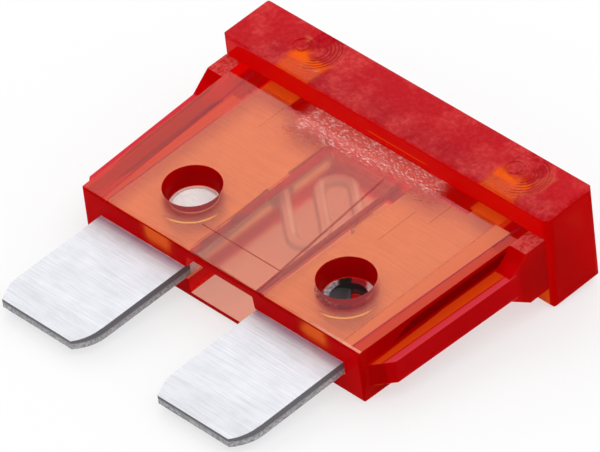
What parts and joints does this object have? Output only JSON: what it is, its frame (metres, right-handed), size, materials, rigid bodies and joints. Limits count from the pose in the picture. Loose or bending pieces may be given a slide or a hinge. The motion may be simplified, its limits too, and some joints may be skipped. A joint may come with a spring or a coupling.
{
  "type": "automotive blade fuse",
  "caption": "Plug-in fuse with a clear red moulded housing over one stamped metal element: flat parallel blades, S-shaped link behind a window, broad pull head with test slots.",
  "frame": {"origin": "middle of the part's outline seen from the front, at the level of the head's back face", "axes": "+X along the width of the head; +Y from the blade tips to the head; +Z out of the front face, the one with the two round holes"},
  "size_m": [0.0194, 0.0192, 0.005],
  "materials": {
    "clear_red": "clear red, glossy, matte on the head's front",
    "zinc_strip": "fine rolled grain, rough sheared edges"
  },
  "bodies": {
    "root": {"housing": "clear_red", "fuse_element": "zinc_strip"}
  },
  "joints": []
}
